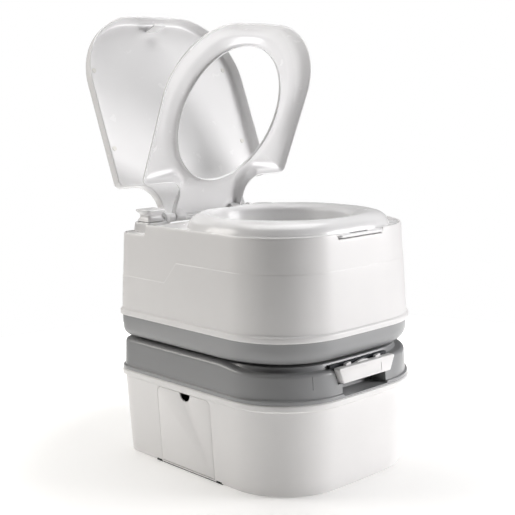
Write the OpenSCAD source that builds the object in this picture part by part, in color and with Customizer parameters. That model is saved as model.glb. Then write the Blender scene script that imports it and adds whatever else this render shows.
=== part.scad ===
// Portable camp toilet: a flush unit with bowl, seat and lid, clipped on a waste unit with a slide valve.
// Millimetres. The origin is on the floor, under the middle of the body. +Z is up, -Y is the front with
// the pull handle, +Y is the back with the hinge, and -X is the side with the access panel.

/* [Body] */
// Width of the body at its ridges
body_w = 356; // [350:1:362]
// Depth of the body at its ridges, without the bow of its front
body_d = 406; // [402:1:410]
// How far the middle of the front bows out
front_bow = 8; // [6:1:10]
// Corner radius of the body at the front, seen from above
front_r = 114; // [108:1:118]
// Corner radius of the body at the back, seen from above
back_r = 38; // [34:1:42]
// Thickness of the moulded walls
wall = 3; // [2.8:0.1:3.2]

/* [Heights] */
// Top of the white base tub, where the grey flange of the waste tank sits
tub_top = 146.5; // [145:0.5:148]
// Top of the grey waste tank
waste_top = 199; // [198:0.5:200]
// Underside of the grey flush tray, above the dark gap
tray_z = 203; // [202.5:0.5:204]
// Top edge of the flush tray, where the white shell starts
tray_top = 240; // [238:1:242]
// Top rim of the white flush shell
rim_z = 394.5; // [393:0.5:395]
// Height of the lowered ledge along the back, which carries knob, cap and hinge posts
ledge_z = 377; // [375:1:379]

/* [Bowl] */
// Half of the width of the bowl opening
hole_a = 106; // [102:1:108]
// Half of the length of the bowl opening
hole_b = 120.8; // [118:0.4:122]
// Height of the highest line of the raised collar round the bowl
collar_z = 412.5; // [411:0.5:413]

/* [Hinge] */
// Distance of the hinge axis behind the middle of the body
hinge_y = 153.7; // [152:0.1:155]
// Height of the hinge axis
hinge_z = 396.2; // [395.5:0.1:397]
// Angle at which the seat stands open
seat_open = 66; // [50:1:70]
// Angle at which the lid stands open
lid_open = 111; // [108:1:112]
// Radius of the hinge pins
pin_r = 3.95; // [3.9:0.01:3.96]

/* [Valve] */
// Radius of the opening between bowl and waste tank
mouth_r = 44; // [42:1:45]
// Width of the valve blade
blade_w = 106; // [100:1:106]

/* [Side compartment] */
// Front edge of the access panel opening
panel_y0 = -40; // [-42:1:-38]
// Back edge of the access panel opening
panel_y1 = 92; // [90:1:94]
// Top edge of the access panel opening
panel_top = 133; // [131:1:134]
// Depth at which the wall of the waste tank stands behind the panel
pocket_x = -112; // [-113:0.5:-111]

/* [Hidden] */
$fn = 48;

// Centre of the bowl, the seat hole and the valve mouth
bowl_c = [0, -27.4];
// Clearances: running is for a shaft in its bore, gap is for pieces that only lie side by side
running = 0.06;
gap = 0.6;
// Inset of the walls from the ridges, at the foot, under the lip and at the top of each shell
foot_inset = 11.6;
lip_inset = 5;
rim_inset = 12.25;
// Pull handle and the recess that it sits in
handle_z = [170, 196];
handle_half = [56, 66];
handle_front = -212;
recess_y = -194;
finger_y = -176;
slot_z = [182, 187];
housing_z = [174, 196];
// Turning centre of the pour spout, in the side compartment
spout_c = [26, 70];
spout_x = -136;
vent_c = [-34, 122];
// Pump and fill cap on the back ledge
pump_c = [-123, 157];
cap_c = [131, 152];
// Hinge pieces along X: seat knuckle, lid ear and post of the deck, each [inner, outer]
knuckle_x = [55, 75];
ear_x = [78, 92];
knuckle_r = 7.5;
post_x = [93, 99.5];
// Latch at the back
latch_c = [203, 176];
latch_half = 20;
// Pin of the access panel, [x, z]
panel_pin = [-164.9, 8.5];
// Outside of the collar round the bowl, [inset from its outline, height], and the top of the deck
collar_steps = [[0, 388], [2, 396], [7, 403.5], [15, 409]];
deck_z = 391;
// Where the deck steps down to the back ledge
step_y = 117.2;
// Lid, drawn closed over the axis: height of its top, of its back edge, and its wall
lid_top = 24.3;
lid_edge = 11.5;
lid_wall = 2.4;
// Seat, drawn closed over the axis: height of its top, of its back edge, and its wall
seat_top = 20.6;
seat_edge = 8.6;
seat_wall = 2.6;
seat_band = 46;
// Flush nozzle through the back of the bowl, and the route of its hose from the pump
nozzle_y = [79, 108];
nozzle_z = 366;
hose_route = [[-108.9, 157, 352], [-98, 157, 352], [-86, 154, 352], [-72, 148, 353], [-58, 142, 355],
    [-44, 137, 358], [-30, 133, 361], [-18, 129, 363], [-8, 124, 365], [-2, 118, nozzle_z],
    [0, 112, nozzle_z], [0, nozzle_y[1], nozzle_z]];

white = "white";
pale = "gainsboro";
grey = "darkgray";
dark = "dimgray";

// ---------- outlines ----------
function mix(a, b, t) = a + (b - a) * t;
function arc(c, r, a0, a1, n) = [for (k = [0:n]) let (a = a0 + (a1 - a0) * k / n) c + r * [cos(a), sin(a)]];

// Moves a front point forward by the bow, which fades out towards the sides
function bowed(points, half, bow) =
    [for (p = points) p.y < 0 ? [p.x, p.y - bow * (1 - pow(p.x / half, 2))] : p];

// Rounded outline with half width w, front yf, back yb and the two corner radii; a front corner has
// n steps and a back corner m
function plan(w, yf, rf, yb, rb, bow, n = 9, m = 6) = bowed(concat(
    arc([w - rb, yb - rb], rb, 0, 90, m), arc([rb - w, yb - rb], rb, 90, 180, m),
    arc([rf - w, yf + rf], rf, 180, 270, n),
    [for (k = [1:5]) [(w - rf) * (k / 3 - 1), yf]],
    arc([w - rf, yf + rf], rf, 270, 360, n)), w, bow);

function outline(i) = plan(body_w / 2 - i, i - body_d / 2, front_r - i, body_d / 2 - i, max(back_r - i, 2),
    front_bow);

// Outline of seat or lid: like plan, with a neck of half width nk that runs back to ye between two
// round cut-outs of radius f; its straight sides have n steps
function necked(w, yf, rf, yb, nk, f, ye, bow, n, i) = let (
    rb = 12 - min(i, 10), re = 3, wing = yb - i - rb, neck = nk - i - re) bowed(concat(
    arc([w - i - rb, wing], rb, 0, 90, 4), arc([nk + f, yb + f], f + i, 270, 180, 7),
    arc([neck, ye - i - re], re, 0, 90, 2), [for (k = [1:1:n - 1]) [neck * (1 - 2 * k / n), ye - i]],
    arc([-neck, ye - i - re], re, 90, 180, 2),
    arc([-nk - f, yb + f], f + i, 360, 270, 7), arc([rb + i - w, wing], rb, 90, 180, 4),
    [for (k = [1:1:n - 1]) [i - w, mix(wing, yf + rf, k / n)]],
    arc([rf - w, yf + rf], rf - i, 180, 270, 10),
    [for (k = [1:5]) [(w - rf) * (k / 3 - 1), yf + i]],
    arc([w - rf, yf + rf], rf - i, 270, 360, 10),
    [for (k = [1:1:n - 1]) [w - i, mix(yf + rf, wing, k / n)]]), w, bow);

function seat_outline(i) = necked(160.7, -182.8, 117.6, 88.2, knuckle_x[1], 28, hinge_y + 3, 6.8, 5, i);
function lid_outline(i) = necked(169.6, -208, 111, 93.4, ear_x[1], 38, hinge_y + 6.3, 3, 1, i);
function collar_outline(i) = plan(159 - i, i - 181.5, 116 - i, 116 - i, 150 - i, 6.5, 11, 11);

function at_z(points, z) = [for (p = points) [p.x, p.y, z]];
function ring(z, i) = at_z(outline(i), z);
// The point of an ellipse round the bowl centre that lies in the direction of p
function on_ellipse(p, a, b) = let (d = p - bowl_c) bowl_c + d / norm([d.x / a, d.y / b]);

// ---------- solids ----------
// Skin over a list of rings with the same number of points; it ends in flat caps, or closes on itself
module loft(rings, closed = false) {
    n = len(rings[0]);
    m = len(rings);
    last = closed ? m - 1 : m - 2;
    sides = [for (j = [0:last]) for (k = [0:n - 1])
        let (k2 = (k + 1) % n, up = ((j + 1) % m) * n, a = j * n + k, b = j * n + k2, c = up + k2, d = up + k)
        each [[a, d, c], [a, c, b]]];
    caps = closed ? [] : [[for (k = [0:n - 1]) k], [for (k = [n - 1:-1:0]) (m - 1) * n + k]];
    polyhedron(points = [for (r = rings) each r], faces = concat(sides, caps), convexity = 8);
}

module bar_x(x0, x1, r, y, z) {
    translate([x0, y, z]) rotate([0, 90, 0]) cylinder(h = x1 - x0, r = r);
}

module block(lo, hi) {
    translate(lo) cube(hi - lo);
}

module tube(h, r_out, r_in) {
    difference() {
        cylinder(h = h, r = r_out);
        translate([0, 0, -1]) cylinder(h = h + 2, r = r_in);
    }
}

// Cap of mean radius r with n flutes round its side for the fingers
module fluted(h, r, n) {
    depth = 0.5;
    step = 60 / n;
    linear_extrude(h) polygon([for (a = [0:step:360 - step]) (r + depth * cos(n * a)) * [cos(a), sin(a)]]);
}

module both_sides() {
    children();
    mirror([1, 0, 0]) children();
}

// ---------- waste unit ----------
module base_tub() {
    color(white) difference() {
        union() {
            loft([ring(0, foot_inset + 5), ring(2, foot_inset + 1.5), ring(6, foot_inset),
                ring(134, lip_inset), ring(136, 2.5), ring(138.5, 0.5), ring(141, 0), ring(144, 0.5),
                ring(tub_top, 2.5), ring(tub_top, lip_inset + 1), ring(134, lip_inset + wall + 0.5),
                ring(6, foot_inset + wall + 0.4), ring(wall, foot_inset + wall + 4)]);
            for (y = [panel_y0 - 5, panel_y1]) block([-164.5, y, 5.5], [-158, y + 5, 16]);
        }
        block([-190, panel_y0, 5], [-150, panel_y1, panel_top]);
        translate([panel_pin.x, panel_y0 - 4, panel_pin.y]) rotate([-90, 0, 0])
            cylinder(h = panel_y1 - panel_y0 + 8, r = 1.1 + running);
    }
}

module side_panel() {
    y0 = panel_y0 + gap;
    y1 = panel_y1 - gap;
    z1 = panel_top - gap;
    corner = 9;
    notch_y = 21;
    slope = (foot_inset - lip_inset) / (134 - 6);
    foot_x = foot_inset - body_w / 2;
    color(white) {
        difference() {
            intersection() {
                translate([0, y1, 0]) rotate([90, 0, 0]) linear_extrude(y1 - y0) polygon([
                    [foot_x, 6], [foot_x - slope * (z1 - 6), z1],
                    [foot_x - slope * (z1 - 6) + wall, z1], [foot_x + wall, 6]]);
                translate([-200, 0, 0]) rotate([90, 0, 90]) linear_extrude(100) polygon(concat(
                    [[y0, 5.9], [y1, 5.9]], arc([y1 - corner, z1 - corner], corner, 0, 90, 6),
                    arc([y0 + corner, z1 - corner], corner, 90, 180, 6)));
            }
            bar_x(-190, -150, 13, notch_y, panel_top);
        }
        translate([panel_pin.x, panel_y0 - 3.5, panel_pin.y]) rotate([-90, 0, 0])
            cylinder(h = panel_y1 - panel_y0 + 7, r = 1.1);
    }
}

// Hollow grey tank: its lower part hangs in the tub, its flange covers the lip of the tub
module waste_tank() {
    color(grey) difference() {
        union() {
            difference() {
                loft([ring(3.2, 24), ring(6, 18), ring(12, foot_inset + wall + 2),
                    ring(tub_top, lip_inset + wall + 3), ring(tub_top, 2.5), ring(148, 1.5),
                    ring(152, 1.5), ring(153, lip_inset), ring(191, 7.2), ring(195.5, 8.6),
                    ring(198, 11), ring(waste_top, 15)]);
                waste_notches(0);
            }
            both_sides() block([23, 194.5, 170], [28, 207, 182]);
        }
        difference() {
            loft([ring(3.2 + wall, 27), ring(12, foot_inset + wall + 6),
                ring(tub_top, lip_inset + wall + 6), ring(191, 10.4), ring(waste_top - wall, 18)]);
            waste_notches(wall);
        }
        translate([bowl_c.x, bowl_c.y, 190]) cylinder(h = 20, r = mouth_r + 9);
        block([-64.6, recess_y - 1, housing_z[0] - 0.1], [64.6, recess_y + wall + 1, housing_z[1]]);
        bar_x(pocket_x - 5, pocket_x + wall + 5, 16 + running, spout_c.x, spout_c.y);
        bar_x(pocket_x - 5, pocket_x + wall + 5, 3 + running, vent_c.x, vent_c.y);
        bar_x(-30, 30, 2.5, latch_c.x, latch_c.y);
        screw_holes(2.1);
    }
}

// Space that the waste tank leaves free, grown by g to keep a wall round it
module waste_notches(g) {
    block([-200, panel_y0 - 6 - g, -1], [pocket_x + g, panel_y1 + 6 + g, 139 + g]);
    block([-68 - g, -230, 168.5 - g], [68 + g, recess_y + g, 210]);
    block([-50 - g, -230, 149.5 - g], [50 + g, finger_y + g, 169]);
}

module screw_holes(r) {
    for (x = [-59.5, 59.5], dy = [-50, 50])
        translate([x, bowl_c.y + dy, 176]) cylinder(h = 30, r = r);
}

module valve_housing() {
    color(dark) difference() {
        block([-64, recess_y + 0.4, housing_z[0]], [64, 40, housing_z[1] - 0.1]);
        block([-blade_w / 2 - 0.6, recess_y - 1, slot_z[0]], [blade_w / 2 + 0.6, 30, slot_z[1]]);
        translate([bowl_c.x, bowl_c.y, 170]) cylinder(h = 40, r = mouth_r);
        screw_holes(1.9);
    }
}

module valve_blade() {
    color(dark) block([-blade_w / 2, -203, slot_z[0] + 0.25], [blade_w / 2, 24, slot_z[1] - 0.25]);
}

module valve_handle() {
    back = -199.5;
    color(white) difference() {
        translate([0, back, 0]) rotate([90, 0, 0]) linear_extrude(back - handle_front) polygon(concat(
            [[handle_half[0], handle_z[0]]], arc([handle_half[1] - 3, handle_z[1] - 4], 3, 0, 90, 4),
            arc([3 - handle_half[1], handle_z[1] - 4], 3, 90, 180, 4), [[-handle_half[0], handle_z[0]]]));
        block([-blade_w / 2 - 0.1, -205, slot_z[0] + 0.2], [blade_w / 2 + 0.1, -190, slot_z[1] - 0.2]);
        block([-48, -206, 160], [48, -190, slot_z[0] - 2]);
    }
}

module mouth_seal() {
    color("black") translate([bowl_c.x, bowl_c.y, housing_z[1]]) tube(5, mouth_r + 8.8, mouth_r);
}

module valve_screws() {
    color("silver") for (x = [-59.5, 59.5], dy = [-50, 50]) translate([x, bowl_c.y + dy, waste_top]) {
        cylinder(h = 2.2, r = 4);
        translate([0, 0, -20]) cylinder(h = 20.1, r = 1.88);
    }
}

module pour_spout() {
    color(grey) translate([0, spout_c.x, spout_c.y]) difference() {
        union() {
            bar_x(spout_x - 14, pocket_x + 4, 16, 0, 0);
            bar_x(-117.4, -114.4, 22, 0, 0);
            translate([spout_x, 0, 0]) cylinder(h = 44, r = 14);
        }
        bar_x(spout_x - 1, pocket_x + 5, 12, 0, 0);
        translate([spout_x, 0, 0]) cylinder(h = 45, r = 11);
    }
}

module spout_gasket() {
    color("black") translate([-114.3, spout_c.x, spout_c.y]) rotate([0, 90, 0]) tube(2.2, 21, 16.1);
}

module spout_cap() {
    color(dark) translate([spout_x, spout_c.x, spout_c.y]) difference() {
        translate([0, 0, 34]) fluted(23, 16.9, 12);
        translate([0, 0, 33]) cylinder(h = 18, r = 14.3);
    }
}

module vent_button() {
    color(dark) {
        bar_x(-124, -119, 7.5, vent_c.x, vent_c.y);
        bar_x(-119.1, -106, 3, vent_c.x, vent_c.y);
    }
}

module vent_spring() {
    color("silver") translate([-118.9, vent_c.x, vent_c.y]) rotate([0, 90, 0]) tube(6.8, 6, 3.6);
}

module rear_latch() {
    y = latch_c.x;
    color(dark) difference() {
        union() {
            translate([-latch_half, 0, 0]) rotate([90, 0, 90]) linear_extrude(2 * latch_half) polygon([
                [y - 1, 172], [y + 2, 171], [y + 2, 231], [y + 6, 234], [y + 4, 236], [y - 1, 233],
                [y - 3.8, 228], [y - 3.8, 223.6], [y - 1, 223.6]]);
            bar_x(-latch_half, latch_half, 4.8, latch_c.x, latch_c.y);
        }
        bar_x(-30, 30, 2.48 + running, latch_c.x, latch_c.y);
    }
}

module latch_pin() {
    color("silver") bar_x(-29, 29, 2.48, latch_c.x, latch_c.y);
}

// ---------- flush unit ----------
function tray_ring(a, g) = ring(tray_z + g + (25 - g) * (1 - cos(a)), 4 + g + (25 - g) * (1 - sin(a)));

module flush_tray() {
    color(grey) difference() {
        union() {
            loft(concat([for (a = [0:15:90]) tray_ring(a, 0)], [ring(tray_top, 3.6), ring(tray_top, 6.9),
                ring(tray_top + 5, 6.9), ring(tray_top + 5, 9.5)], [for (a = [90:-15:0]) tray_ring(a, 3)]));
            block([-18, 196.5, 218], [18, 201.4, 223]);
            for (x = [-95, 95], y = [-120, 120])
                translate([x, y, waste_top]) cylinder(h = tray_z - waste_top + 1, r = 9);
        }
        translate([bowl_c.x, bowl_c.y, 190]) cylinder(h = 30, r = mouth_r + 8);
    }
}

// White shell: a ridge over the edge of the tray, tapering walls and a rounded rim
module flush_shell() {
    color(white) difference() {
        loft([ring(tray_top, 1.5), ring(tray_top + 1.5, 0), ring(tray_top + 7, 0), ring(tray_top + 9.4, 3.5),
            ring(rim_z - 2.5, rim_inset - 0.4), ring(rim_z - 0.6, rim_inset), ring(rim_z, rim_inset + 1.4),
            ring(rim_z - 0.6, rim_inset + 2.8), ring(rim_z - 4, rim_inset + 3),
            ring(tray_top + 12, 3.5 + wall + 0.2), ring(tray_top, 6.6)], closed = true);
        block([-200, step_y - 0.2, ledge_z], [200, 250, 450]);
        block([-51, -250, 385.5], [51, -150, 450]);
    }
}

// Height of the crest at a distance d from the opening: it stays under the closed seat
function crest_z(d) = lookup(d, [[0, 400.6], [1.2, 403.8], [2.6, 405.4], [5.5, 408.5], [10, 410.8],
    [15, 411.8], [20, collar_z]]);

function crest_ring(points, rim, h, less = 0) = [for (k = [0:len(points) - 1])
    [points[k].x, points[k].y, min(h, crest_z(norm(points[k] - rim[k])) - less)]];

module bowl_skin() {
    foot = collar_outline(0);
    shoulder = collar_outline(15);
    rim = [for (p = shoulder) on_ellipse(p, hole_a, hole_b)];
    outlet = [for (p = shoulder) on_ellipse(p, mouth_r, mouth_r)];
    g = 2.8;
    outlet_out = [for (p = shoulder) on_ellipse(p, mouth_r + g, mouth_r + g)];
    rim_out = [for (p = shoulder) on_ellipse(p, hole_a + g, hole_b + g)];
    // [fraction from shoulder to opening, height] over the crest, then [fraction to the outlet, height]
    crest = [[0.35, collar_z], [0.6, collar_z - 0.2], [0.85, collar_z - 3], [0.97, collar_z - 7]];
    basin = [[0, collar_z - 13], [0.1, 375], [0.3, 330], [0.62, 270], [0.9, 228], [1, 212]];
    loft(concat([for (s = collar_steps) at_z(collar_outline(s[0]), s[1])],
        [for (c = crest) crest_ring(mix(shoulder, rim, c[0]), rim, c[1])],
        [for (b = basin) at_z(mix(rim, outlet, b[0]), b[1])],
        [at_z(outlet, tray_z - 1), at_z(outlet_out, tray_z - 1)],
        [for (k = [5:-1:1]) at_z(mix(rim_out, outlet_out, basin[k][0]), basin[k][1] - (k < 5 ? 2 : 0))],
        [at_z(mix(shoulder, rim_out, 0.9), collar_z - 13),
        crest_ring(mix(shoulder, rim_out, 0.6), rim, collar_z - 3.4, 3.2),
        crest_ring(mix(shoulder, rim_out, 0.2), rim, collar_z - 4, 3.2),
        at_z(collar_outline(9), 402), at_z(collar_outline(4), 394), at_z(collar_outline(3), 388)]),
        closed = true);
}

module post() {
    r = 10;
    block([post_x[0], hinge_y - r - 2, ledge_z - 1], [post_x[1], hinge_y + r + 2, hinge_z]);
    bar_x(post_x[0], post_x[1], r, hinge_y, hinge_z);
}

module bowl() {
    deck = rim_inset + wall + 0.4;
    color(white) difference() {
        union() {
            bowl_skin();
            difference() {
                union() {
                    translate([0, 0, deck_z - wall]) linear_extrude(wall) intersection() {
                        polygon(outline(deck));
                        translate([-200, -300]) square([400, 300 + step_y + wall]);
                    }
                    translate([0, 0, ledge_z - wall]) linear_extrude(wall) intersection() {
                        polygon(outline(deck));
                        translate([-200, step_y]) square([400, 100]);
                    }
                    translate([0, 0, ledge_z - wall]) linear_extrude(deck_z - ledge_z + wall) intersection() {
                        polygon(outline(deck));
                        translate([-200, step_y]) square([400, wall]);
                    }
                    finger_lip();
                }
                translate([0, 0, 350]) linear_extrude(60) polygon(collar_outline(3.5));
            }
            both_sides() post();
        }
        bar_x(-110, 110, pin_r + 0.05, hinge_y, hinge_z);
        translate([pump_c.x, pump_c.y, 360]) cylinder(h = 30, r = 14.4);
        translate([cap_c.x, cap_c.y, 360]) cylinder(h = 30, r = 17.2);
        block([-21, -196.6, 380], [21, -191.4, 400]);
        translate([0, 66, nozzle_z]) rotate([-90, 0, 0]) cylinder(h = 44, r = 5.1);
    }
}

// Finger lip at the front, over the rim of the shell
module finger_lip() {
    translate([0, 0, 386]) linear_extrude(6.5) polygon(concat(arc([38, -202], 12, -90, 0, 5),
        [[50, -185], [-50, -185]], arc([-38, -202], 12, 180, 270, 5)));
}

module bowl_gasket() {
    color("black") translate([bowl_c.x, bowl_c.y, tray_z + 0.1]) tube(7, mouth_r + 7.8, mouth_r + 3);
}

module flush_nozzle() {
    color(pale) translate([0, nozzle_y[0], nozzle_z]) rotate([-90, 0, 0])
        tube(nozzle_y[1] - nozzle_y[0], 5, 2.5);
}

// Tube of radius r swept along a route, with rings square to the route
module swept(route, r) {
    n = len(route) - 1;
    up = [0, 0, 1];
    rings = [for (k = [0:n])
        let (t = route[min(k + 1, n)] - route[max(k - 1, 0)], t1 = t / norm(t), s = cross(t1, up),
            s1 = s / norm(s), u = cross(s1, t1))
        [for (a = [0:45:315]) route[k] + r * (cos(a) * u + sin(a) * s1)]];
    loft(rings);
}

module flush_hose() {
    color(pale) swept(hose_route, 4.5);
}

function square_ring(c, half, r, z) = at_z([for (p = plan(half, -half, r, half, r, 0)) p + c], z);

// Square foot on the ledge, with the pump barrel under it inside the flush tank
module pump_housing() {
    barrel = 11;
    color(white) translate([pump_c.x, pump_c.y, 0]) difference() {
        union() {
            loft([for (s = [[22, ledge_z], [21.5, 384], [20.5, 391], [19, 393]])
                square_ring([0, 0], s[0], 5, s[1])]);
            translate([0, 0, 250]) cylinder(h = ledge_z - 249, r = 14);
        }
        translate([0, 0, 254]) cylinder(h = 130, r = barrel);
        translate([0, 0, 249]) cylinder(h = 6, r = 5.05);
        translate([0, 0, 380]) cylinder(h = 20, r = 4 + running);
    }
}

module pump_knob() {
    sides = [[17.5, 393.5], [16.5, 396], [14.5, 399.5], [14, 402.5], [15, 406], [17.5, 409], [19, 410.6],
        [19, 412], [17.5, 413.5]];
    color(white) translate([pump_c.x, pump_c.y, 0]) difference() {
        loft([for (s = sides) square_ring([0, 0], s[0], 5, s[1])]);
        translate([0, 0, 390]) cylinder(h = 16, r = 4.02);
    }
}

module pump_rod() {
    color(pale) translate([pump_c.x, pump_c.y, 0]) {
        translate([0, 0, 262]) cylinder(h = 143.8, r = 4);
        translate([0, 0, 262]) cylinder(h = 10, r = 10.94);
    }
}

module suction_tube() {
    color(pale) translate([pump_c.x, pump_c.y, 210]) tube(43.8, 5, 3.5);
}

module filler_neck() {
    color(white) translate([cap_c.x, cap_c.y, 366]) {
        tube(32, 17, 14);
        translate([0, 0, ledge_z - 366]) tube(2, 22, 14);
    }
}

module fill_cap() {
    color(white) translate([cap_c.x, cap_c.y, 0]) difference() {
        translate([0, 0, ledge_z + 2.4]) fluted(26, 21.9, 24);
        translate([0, 0, ledge_z]) cylinder(h = 24.5, r = 17.3);
    }
}

module cap_seal() {
    color("black") translate([cap_c.x, cap_c.y, 398.2]) tube(2.4, 17, 13);
}

module hinge_pins() {
    color("silver") both_sides() bar_x(knuckle_x[0] - 2, post_x[1], pin_r, hinge_y, hinge_z);
}

// ---------- seat and lid: drawn closed round the hinge axis, then turned open ----------
module opened(angle) {
    translate([0, hinge_y, hinge_z]) rotate([-angle, 0, 0]) translate([0, -hinge_y, 0]) children();
}

// Height of a skin over the axis plane: flat at top, and falling to edge behind the seat's hole
function neck_drop(y, top, edge) = let (v = 44 - (hinge_y - y))
    v > 0 ? top - (top - edge) * pow(v / 50, 2) : top;
function skin(points, h, top, edge, less = 0) =
    [for (p = points) [p.x, p.y, min(h, neck_drop(p.y, top, edge)) - less]];

// Ring between the seat's shoulder and its hole; near the hole the section is the same all round
function toward(inner, hole, t) = [for (k = [0:len(inner) - 1])
    let (w = norm(inner[k] - hole[k]), f = max(t, 1 - (1 - t) * seat_band / w))
    inner[k] + f * (hole[k] - inner[k])];

module seat() {
    top = seat_top;
    rim = 2.8;
    inner = seat_outline(9);
    hole = [for (p = inner) on_ellipse(p, hole_a, hole_b)];
    hole_in = [for (p = inner) on_ellipse(p, hole_a + 2, hole_b + 2)];
    function over(points, h) = skin(points, h, top, seat_edge);
    function under(points, h) = skin(points, h, top, seat_edge, seat_wall);
    color(white) opened(seat_open) difference() {
        union() {
            loft([at_z(seat_outline(0), rim), over(seat_outline(0.4), rim + 5), over(seat_outline(3), 14),
                over(inner, 18), over(toward(inner, hole, 0.35), top),
                over(toward(inner, hole, 0.7), top - 1.5),
                over(toward(inner, hole, 0.92), top - 4.5), over(hole, top - 8), over(hole, top - 10.5),
                over(hole_in, top - 10.5), under(toward(inner, hole_in, 0.9), top - 4.5),
                under(toward(inner, hole_in, 0.7), top - 1.5), under(toward(inner, hole_in, 0.35), top),
                under(seat_outline(9.6), 18), under(seat_outline(4.6), 14), at_z(seat_outline(2.5), rim)],
                closed = true);
            both_sides() {
                bar_x(knuckle_x[0], knuckle_x[1], knuckle_r, hinge_y, 0);
                block([knuckle_x[0], hinge_y - 7, 0], [knuckle_x[1], hinge_y + 2.6, 8.4]);
            }
        }
        bar_x(-100, 100, pin_r + 0.08, hinge_y, 0);
    }
}

module lid() {
    rim = 2.5;
    function over(points, h) = skin(points, h, lid_top, lid_edge);
    function under(points, h) = skin(points, h, lid_top, lid_edge, lid_wall);
    flat = lid_outline(14);
    function inward(t) = mix(flat, [for (p = flat) bowl_c], t);
    color(white) opened(lid_open) difference() {
        union() {
            loft([under(inward(0.95), lid_top), under(inward(0.5), lid_top), under(inward(0.2), lid_top),
                under(inward(0.1), lid_top), under(flat, lid_top), under(lid_outline(7.5), lid_top - 1),
                under(lid_outline(4), lid_top - 4.5), over(lid_outline(lid_wall), rim),
                over(lid_outline(0), rim), over(lid_outline(0.5), lid_top - 10),
                over(lid_outline(2), lid_top - 4.5), over(lid_outline(6), lid_top - 1), over(flat, lid_top),
                over(inward(0.1), lid_top), over(inward(0.2), lid_top), over(inward(0.5), lid_top),
                over(inward(0.95), lid_top)]);
            both_sides() {
                bar_x(ear_x[0], ear_x[1] - 0.5, knuckle_r, hinge_y, 0);
                block([ear_x[0], hinge_y - 7, 0], [ear_x[1] - 0.5, hinge_y + 5, 12.5]);
            }
            block([-27, -213.5, 4], [27, -208.5, 7]);
            block([-13, -195, -6], [13, -192.6, lid_top - 1.5]);
            block([-13, -195.6, -6], [13, -192.6, -3.5]);
        }
        bar_x(-100, 100, pin_r + 0.08, hinge_y, 0);
        both_sides() bar_x(knuckle_x[0] - gap, knuckle_x[1] + gap, knuckle_r + gap, hinge_y, 0);
    }
}

module lid_pads() {
    color(pale) opened(lid_open) for (x = [-145, 145], y = [-120, 20])
        translate([x, y, lid_top - lid_wall - 0.9]) cylinder(h = 0.9, r = 4);
}

base_tub();
side_panel();
waste_tank();
valve_housing();
valve_blade();
valve_handle();
mouth_seal();
valve_screws();
pour_spout();
spout_gasket();
spout_cap();
vent_button();
vent_spring();
rear_latch();
latch_pin();
flush_tray();
flush_shell();
bowl();
bowl_gasket();
flush_nozzle();
flush_hose();
pump_housing();
pump_knob();
pump_rod();
suction_tube();
filler_neck();
fill_cap();
cap_seal();
hinge_pins();
seat();
lid();
lid_pads();
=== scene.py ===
"""Looks of the portable camp toilet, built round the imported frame.

Shapes are worked out in millimetres and become metres when a mesh is made."""
import math

import bmesh
import bpy
from mathutils import Matrix, Vector


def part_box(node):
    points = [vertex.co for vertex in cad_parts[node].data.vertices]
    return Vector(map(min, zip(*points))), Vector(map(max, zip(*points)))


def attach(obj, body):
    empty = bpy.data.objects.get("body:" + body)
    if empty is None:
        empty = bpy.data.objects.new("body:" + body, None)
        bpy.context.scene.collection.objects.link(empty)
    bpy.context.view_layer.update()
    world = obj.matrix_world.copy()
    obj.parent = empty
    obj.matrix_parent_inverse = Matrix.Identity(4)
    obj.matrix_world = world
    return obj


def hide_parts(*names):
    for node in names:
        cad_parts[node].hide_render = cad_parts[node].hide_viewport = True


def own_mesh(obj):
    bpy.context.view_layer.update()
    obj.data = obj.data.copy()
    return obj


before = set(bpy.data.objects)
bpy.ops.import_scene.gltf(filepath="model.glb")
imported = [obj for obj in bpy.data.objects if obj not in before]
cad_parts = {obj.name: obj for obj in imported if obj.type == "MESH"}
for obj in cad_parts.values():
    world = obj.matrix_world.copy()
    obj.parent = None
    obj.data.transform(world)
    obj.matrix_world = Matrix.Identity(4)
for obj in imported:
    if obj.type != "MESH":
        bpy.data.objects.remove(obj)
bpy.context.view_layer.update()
MM = 0.001


def node_box(name):
    """Lowest and highest corner of a CAD node, in millimetres."""
    low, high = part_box(name)
    return low / MM, high / MM


# ---------- sizes ----------
TUB_LOW, TUB_HIGH = node_box("base_tub")
HALF, BACK = TUB_HIGH.x, TUB_HIGH.y
BOW = -TUB_LOW.y - BACK
TUB_TOP = TUB_HIGH.z
WASTE_TOP = 199
TRAY_Z = 203
TRAY_TOP = 240
RIM_Z = node_box("flush_shell")[1].z
FRONT_R, BACK_R = 114, 38
WALL = 3
FOOT_INSET, LIP_INSET, RIM_INSET = 11.6, 5, 12.25
LEDGE_Z, DECK_Z, STEP_Y = 377, 391, 117.2
COLLAR_Z = 412.5
HOLE_A, HOLE_B = 106, 120.8
MOUTH_R = 44
CENTRE = Vector((0, -27.4))
HINGE_Y, HINGE_Z = 153.7, 396.2
SEAT_OPEN, LID_OPEN = math.radians(66), math.radians(111)
PANEL_Y = (-39.4, 91.4)
PANEL_TOP = 132.4
PANEL_NOTCH_Y = 21
RECESS_Y = -194
SHOULDER = 15
CREST_WIDTH = 36
PUMP_AT, CAP_AT = (-123, 157), (131, 152)
SPOUT_AT, VENT_AT = (26, 70), (-34, 122)
LATCH_SLOT = ((-21, -197.5, 380), (21, -190.5, 400))


# ---------- outlines ----------
def arc(cx, cy, r, start, end, n):
    """n + 1 points on an arc, from start to end in degrees."""
    angles = [math.radians(start + (end - start) * k / n) for k in range(n + 1)]
    return [(cx + r * math.cos(a), cy + r * math.sin(a)) for a in angles]


def circle(cx, cy, r, n=24):
    """n points round a full circle."""
    return arc(cx, cy, r, 0, 360 - 360 / n, n - 1)


def between(p, q, n):
    """n points that divide the line from p to q, without its ends."""
    return [(p[0] + (q[0] - p[0]) * k / (n + 1), p[1] + (q[1] - p[1]) * k / (n + 1)) for k in range(1, n + 1)]


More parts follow.
